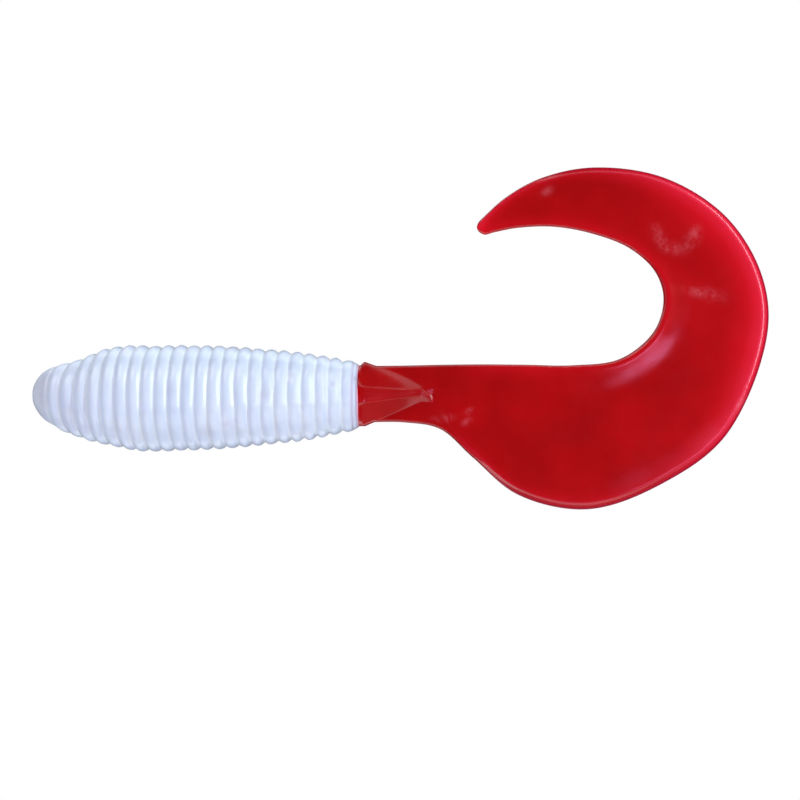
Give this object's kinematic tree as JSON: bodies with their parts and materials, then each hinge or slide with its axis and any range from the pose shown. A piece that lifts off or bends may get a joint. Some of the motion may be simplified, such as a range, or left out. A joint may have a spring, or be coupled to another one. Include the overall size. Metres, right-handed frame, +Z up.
{
  "type": "soft plastic worm",
  "caption": "Curly-tail grub fishing lure: a ribbed white round body with a flat red sickle tail, in flexing links from nose to tip.",
  "frame": {"origin": "centre of the small flat face on the nose", "axes": "+X runs along the body from the nose to the tail, +Z is up towards the curl of the tail, and Y is the thickness of the tail"},
  "size_m": [0.1018, 0.0148, 0.0472],
  "materials": {
    "white_plastic": "soft translucent plastisol, semi-gloss",
    "red_plastic": "soft translucent plastisol, glossy"
  },
  "bodies": {
    "nose": {"nose_section": "white_plastic"},
    "front": {"front_section": "white_plastic"},
    "middle": {"middle_section": "white_plastic"},
    "rear": {"rear_section": "white_plastic"},
    "tail_base": {"end_section": "white_plastic", "tail_stock": "red_plastic"},
    "blade_1": {"blade_link_1": "red_plastic"},
    "blade_2": {"blade_link_2": "red_plastic"},
    "blade_3": {"blade_link_3": "red_plastic"},
    "blade_4": {"blade_link_4": "red_plastic"},
    "blade_5": {"blade_link_5": "red_plastic"},
    "blade_6": {"blade_link_6": "red_plastic"}
  },
  "joints": [
    {"name": "front_sway", "type": "hinge", "parent": "nose", "child": "front", "pos_m": [0.01075, 0, 0], "axis": [0, 0, 1], "range_deg": [-11, 11], "stiffness_Nm_per_rad": 0.12},
    {"name": "front_nod", "type": "hinge", "parent": "front", "child": "middle", "pos_m": [0.01975, 0, 0], "axis": [0, 1, 0], "range_deg": [-11, 11], "stiffness_Nm_per_rad": 0.12},
    {"name": "rear_sway", "type": "hinge", "parent": "middle", "child": "rear", "pos_m": [0.02875, 0, 0], "axis": [0, 0, 1], "range_deg": [-11, 11], "stiffness_Nm_per_rad": 0.09},
    {"name": "rear_nod", "type": "hinge", "parent": "rear", "child": "tail_base", "pos_m": [0.03775, 0, 0], "axis": [0, 1, 0], "range_deg": [-11, 11], "stiffness_Nm_per_rad": 0.09},
    {"name": "tail_swing", "type": "hinge", "parent": "tail_base", "child": "blade_1", "pos_m": [0.0566, 0, 0], "axis": [0, 0, -1], "range_deg": [-45, 45], "stiffness_Nm_per_rad": 0.001},
    {"name": "blade_bend_1", "type": "hinge", "parent": "blade_1", "child": "blade_2", "pos_m": [0.0678, 0, -0.00445], "axis": [-0.0444, 0, -0.999], "range_deg": [-30, 30], "stiffness_Nm_per_rad": 0.0008},
    {"name": "blade_bend_2", "type": "hinge", "parent": "blade_2", "child": "blade_3", "pos_m": [0.08432, 0, -0.00326], "axis": [0.3166, 0, -0.9486], "range_deg": [-30, 30], "stiffness_Nm_per_rad": 0.0007},
    {"name": "blade_bend_3", "type": "hinge", "parent": "blade_3", "child": "blade_4", "pos_m": [0.09449, 0, 0.01115], "axis": [0.9452, 0, -0.3266], "range_deg": [-30, 30], "stiffness_Nm_per_rad": 0.0006},
    {"name": "blade_bend_4", "type": "hinge", "parent": "blade_4", "child": "blade_5", "pos_m": [0.08931, 0, 0.02276], "axis": [0.9505, 0, 0.3106], "range_deg": [-30, 30], "stiffness_Nm_per_rad": 0.0004},
    {"name": "blade_bend_5", "type": "hinge", "parent": "blade_5", "child": "blade_6", "pos_m": [0.0751, 0, 0.02769], "axis": [0.5784, 0, 0.8158], "range_deg": [-30, 30], "stiffness_Nm_per_rad": 0.0002}
  ]
}
